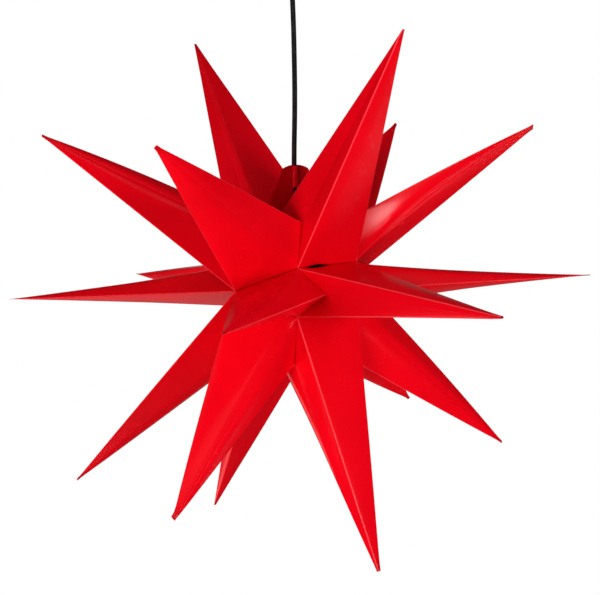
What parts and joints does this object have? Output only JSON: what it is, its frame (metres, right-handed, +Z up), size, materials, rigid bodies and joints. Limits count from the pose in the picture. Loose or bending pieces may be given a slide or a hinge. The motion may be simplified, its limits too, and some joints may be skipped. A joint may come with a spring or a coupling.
{
  "type": "star pendant light",
  "caption": "Many-pointed folding star shade of red plastic sheet, hung by a black cord from a round ceiling canopy, with a screw-base LED lamp inside.",
  "frame": {"origin": "centre of the ceiling bracket's top face, midway between its two screw holes, on the ceiling", "axes": "+Z up into the ceiling; the star hangs below along -Z; +Y along the star's level six-fold axis; the two bracket holes lie along X"},
  "size_m": [0.5873, 0.4508, 0.5986],
  "materials": {
    "red_sheet": "satin polypropylene sheet, creased and welded",
    "clear_red_stud": "moulded",
    "black_cord": "smooth, slightly glossy sheath",
    "black_plastic": "fine moulded texture",
    "black_rubber": "matt",
    "white_ceramic": "glazed",
    "nickel": "plated",
    "brass": "pressed",
    "steel": "zinc plated",
    "brown_lead": "smooth insulation",
    "blue_lead": "smooth insulation",
    "black_glass": "vitrite",
    "white_plastic": "moulded",
    "frosted_globe": "frosted diffuser",
    "board": "solder mask",
    "led_phosphor": "phosphor",
    "capacitor_sleeve": "sleeve"
  },
  "bodies": {
    "ceiling_fitting": {"ceiling_bracket": "steel", "canopy": "black_plastic", "canopy_screws": "steel", "grip_nipple": "black_plastic", "grip_nut": "black_plastic", "terminal_block": "white_plastic", "terminal_tubes": "brass", "terminal_screws": "steel", "supply_lead_live": "brown_lead", "supply_lead_neutral": "blue_lead"},
    "cord_swivel": {"cord_bush": "white_plastic", "cord_stub": "black_cord"},
    "star": {"gore_1_leaf_a": "red_sheet", "gore_1_leaf_b": "red_sheet", "gore_2_leaf_a": "red_sheet", "gore_2_leaf_b": "red_sheet", "gore_3_leaf_a": "red_sheet", "gore_3_leaf_b": "red_sheet", "gore_4_leaf_a": "red_sheet", "gore_4_leaf_b": "red_sheet", "gore_5_leaf_a": "red_sheet", "gore_5_leaf_b": "red_sheet", "gore_6_leaf_a": "red_sheet", "gore_6_leaf_b": "red_sheet", "closure_tab_front": "red_sheet", "closure_tab_back": "red_sheet", "tab_stud_caps": "clear_red_stud", "tab_stud_sockets": "clear_red_stud", "cord": "black_cord", "holder_cap": "black_plastic", "cord_grip_screw": "steel", "holder_body": "black_plastic", "screw_shell": "nickel", "holder_insert": "white_ceramic", "centre_contact": "brass", "holder_terminals": "brass", "holder_lead_live": "brown_lead", "holder_lead_neutral": "blue_lead", "seal_ring": "black_rubber"},
    "lamp": {"lamp_tip": "brass", "lamp_insulator": "black_glass", "lamp_base": "nickel", "lamp_housing": "white_plastic", "lamp_globe": "frosted_globe", "led_board": "board", "led_chips": "led_phosphor", "driver_board": "board", "driver_capacitor": "capacitor_sleeve"}
  },
  "joints": [
    {"name": "cord_twist", "type": "hinge", "parent": "ceiling_fitting", "child": "cord_swivel", "pos_m": [0, 0, -0.03], "axis": [0, 0, 1], "range_deg": [-170, 170]},
    {"name": "star_swing", "type": "hinge", "parent": "cord_swivel", "child": "star", "pos_m": [0, 0, -0.04], "axis": [0, 1, 0], "range_deg": [-15, 15]},
    {"name": "lamp_turn", "type": "hinge", "parent": "star", "child": "lamp", "pos_m": [0, 0, -0.3], "axis": [0, 0, 1], "range_deg": [-720, 0]}
  ]
}
